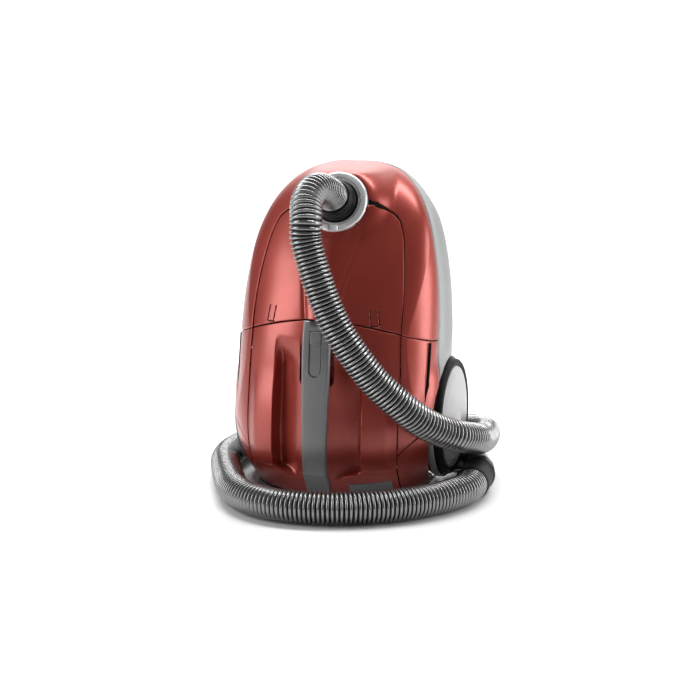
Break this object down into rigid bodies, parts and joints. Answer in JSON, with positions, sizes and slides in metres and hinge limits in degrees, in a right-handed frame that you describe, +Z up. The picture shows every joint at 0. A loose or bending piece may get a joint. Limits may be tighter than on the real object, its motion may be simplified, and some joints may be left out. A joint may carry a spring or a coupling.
{
  "type": "canister vacuum cleaner",
  "caption": "Canister vacuum cleaner parked upright on its rear end, with a corrugated suction hose laid round it.",
  "frame": {"origin": "on the floor under the middle of the standing machine, hose left out", "axes": "+X to the right, +Y to the back (the cleaner's underside), +Z up; the lid side faces -Y"},
  "size_m": [0.3933, 0.4056, 0.42],
  "materials": {
    "shell_red": "satin metallic copper-red lacquer",
    "casing_silver": "fine-textured silver-grey plastic",
    "handle_grey": "satin metallic mid grey",
    "trim_silver": "bright silver satin",
    "black_plastic": "black, smooth",
    "rubber": "matt black rubber",
    "tyre": "soft black tread",
    "hose": "silver-grey corrugated",
    "white_plastic": "natural white",
    "dust_bag": "non-woven fleece",
    "filter_foam": "open-cell foam and fleece",
    "steel": "bright steel",
    "winding": "laminations with copper winding",
    "circuit_board": "green laminate"
  },
  "bodies": {
    "body": {"upper_frame": "shell_red", "rear_cover": "shell_red", "left_side_panel": "shell_red", "right_side_panel": "shell_red", "lower_casing": "casing_silver", "carry_handle": "handle_grey", "bulkhead": "handle_grey", "filter_frame": "handle_grey", "base_plate": "black_plastic", "motor_housing": "black_plastic", "main_switch": "black_plastic", "cord_outlet": "black_plastic", "exhaust_grille": "black_plastic", "parking_socket": "black_plastic", "hose_end_cuff": "black_plastic", "handle_tube": "black_plastic", "foot_front_left": "rubber", "foot_front_right": "rubber", "foot_back_left": "rubber", "foot_back_right": "rubber", "motor_mount": "rubber", "motor_seal": "rubber", "hose": "hose", "dust_bag": "dust_bag", "bag_collar": "dust_bag", "motor_filter": "filter_foam", "exhaust_filter": "filter_foam", "left_hinge_pin": "steel", "right_hinge_pin": "steel", "left_axle": "steel", "right_axle": "steel", "reel_axle": "steel", "reel_spring": "steel", "stator": "winding", "circuit_board": "circuit_board"},
    "lid": {"lid": "shell_red", "inlet_ring": "trim_silver", "inlet_seal": "rubber"},
    "inlet_swivel": {"inlet_cuff": "black_plastic"},
    "latch": {"lid_latch": "black_plastic"},
    "left_wheel": {"left_wheel_rim": "black_plastic", "left_tyre": "tyre", "left_wheel_cap": "trim_silver"},
    "right_wheel": {"right_wheel_rim": "black_plastic", "right_tyre": "tyre", "right_wheel_cap": "trim_silver"},
    "caster": {"caster_fork": "black_plastic", "caster_axle": "steel"},
    "caster_roller": {"caster_wheel": "rubber"},
    "motor_rotor": {"rotor": "winding", "motor_shaft": "steel", "fan_impeller": "steel"},
    "reel": {"cord_reel": "white_plastic", "wound_cord": "rubber"},
    "brake": {"reel_brake": "black_plastic"},
    "power_knob": {"power_slider": "handle_grey"},
    "rewind_button": {"rewind_pedal": "shell_red"},
    "power_button": {"power_pedal": "shell_red"},
    "suction_valve": {"suction_slider": "handle_grey"}
  },
  "joints": [
    {"name": "lid_hinge", "type": "hinge", "parent": "body", "child": "lid", "pos_m": [0, -0.0758, 0.194], "axis": [1, 0, 0], "range_deg": [0, 65], "deforming": ["hose"]},
    {"name": "inlet_swivel", "type": "hinge", "parent": "lid", "child": "inlet_swivel", "pos_m": [0.002, -0.0238, 0.373], "axis": [0, -0.9135, 0.4067], "continuous": true},
    {"name": "latch_slide", "type": "slide", "parent": "lid", "child": "latch", "axis": [1, 0, 0], "range_m": [0, 0.003], "stiffness_N_per_m": 600},
    {"name": "left_wheel_spin", "type": "hinge", "parent": "body", "child": "left_wheel", "pos_m": [-0.142, 0.0402, 0.09], "axis": [1, 0, 0], "continuous": true},
    {"name": "right_wheel_spin", "type": "hinge", "parent": "body", "child": "right_wheel", "pos_m": [0.142, 0.0402, 0.09], "axis": [1, 0, 0], "continuous": true},
    {"name": "caster_swivel", "type": "hinge", "parent": "body", "child": "caster", "pos_m": [0, 0.0902, 0.318], "axis": [0, 1, 0], "continuous": true},
    {"name": "caster_spin", "type": "hinge", "parent": "caster", "child": "caster_roller", "pos_m": [0, 0.10329, 0.312], "axis": [1, 0, 0], "continuous": true},
    {"name": "rotor_spin", "type": "hinge", "parent": "body", "child": "motor_rotor", "pos_m": [-0.048, 0.0152, 0.1], "axis": [0, 0, 1], "continuous": true},
    {"name": "reel_spin", "type": "hinge", "parent": "body", "child": "reel", "pos_m": [0.071, -0.0018, 0.104], "axis": [1, 0, 0], "continuous": true},
    {"name": "brake_release", "type": "slide", "parent": "body", "child": "brake", "axis": [0, 1, 0], "range_m": [0, 0.002]},
    {"name": "power_slide", "type": "slide", "parent": "body", "child": "power_knob", "axis": [0, -0.1376, -0.9905], "range_m": [0, 0.036]},
    {"name": "rewind_press", "type": "slide", "parent": "body", "child": "rewind_button", "axis": [0, 1, 0], "range_m": [0, 0.004], "stiffness_N_per_m": 1500},
    {"name": "power_press", "type": "slide", "parent": "body", "child": "power_button", "axis": [0, 1, 0], "range_m": [0, 0.004], "stiffness_N_per_m": 1500},
    {"name": "suction_slide", "type": "slide", "parent": "body", "child": "suction_valve", "axis": [-1, 0, 0], "range_m": [0, 0.012]}
  ],
  "couplings": [
    {"joint": "brake_release", "follows": "rewind_press", "ratio": 0.5}
  ]
}
